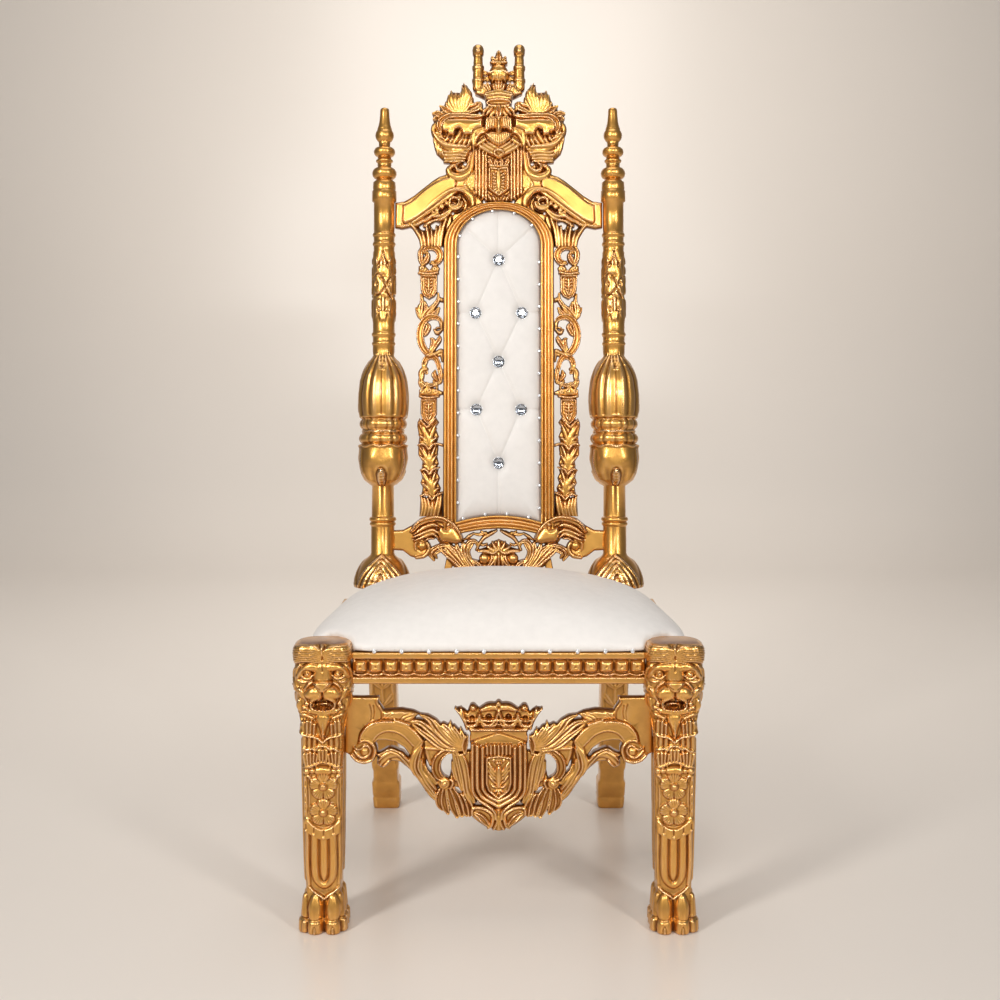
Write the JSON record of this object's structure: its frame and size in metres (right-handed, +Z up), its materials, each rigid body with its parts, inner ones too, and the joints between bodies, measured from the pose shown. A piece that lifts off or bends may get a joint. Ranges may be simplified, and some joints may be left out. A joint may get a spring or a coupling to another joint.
{
  "type": "carved throne chair",
  "caption": "Tall armless throne chair in carved gilded wood, with lion-headed front legs, turned posts, crowned cresting and white crystal-buttoned upholstery.",
  "frame": {"origin": "on the floor, under the middle of the chair's overall box", "axes": "+X to the chair's right as seen from the front, -Y towards the front, +Z up"},
  "size_m": [0.716, 0.68, 1.6823],
  "materials": {
    "gilding": "bright antique gold leaf over carved wood, darker in the recesses",
    "upholstery": "soft white leather, satin",
    "back_lining": "plain woven lining cloth",
    "crystal": "faceted clear crystal"
  },
  "bodies": {
    "root": {"front_leg_left": "gilding", "front_leg_right": "gilding", "rear_post_left": "gilding", "rear_post_right": "gilding", "side_rail_left": "gilding", "side_rail_right": "gilding", "rear_rail": "gilding", "front_rail": "gilding", "front_apron": "gilding", "crest_rail": "gilding", "arch_frame": "gilding", "fretwork_left": "gilding", "fretwork_right": "gilding", "lower_back_rail": "gilding", "seat_cushion": "upholstery", "back_pad": "upholstery", "back_panel": "back_lining", "crystal_button_1": "crystal", "crystal_button_2": "crystal", "crystal_button_3": "crystal", "crystal_button_4": "crystal", "crystal_button_5": "crystal", "crystal_button_6": "crystal", "crystal_button_7": "crystal"}
  },
  "joints": []
}
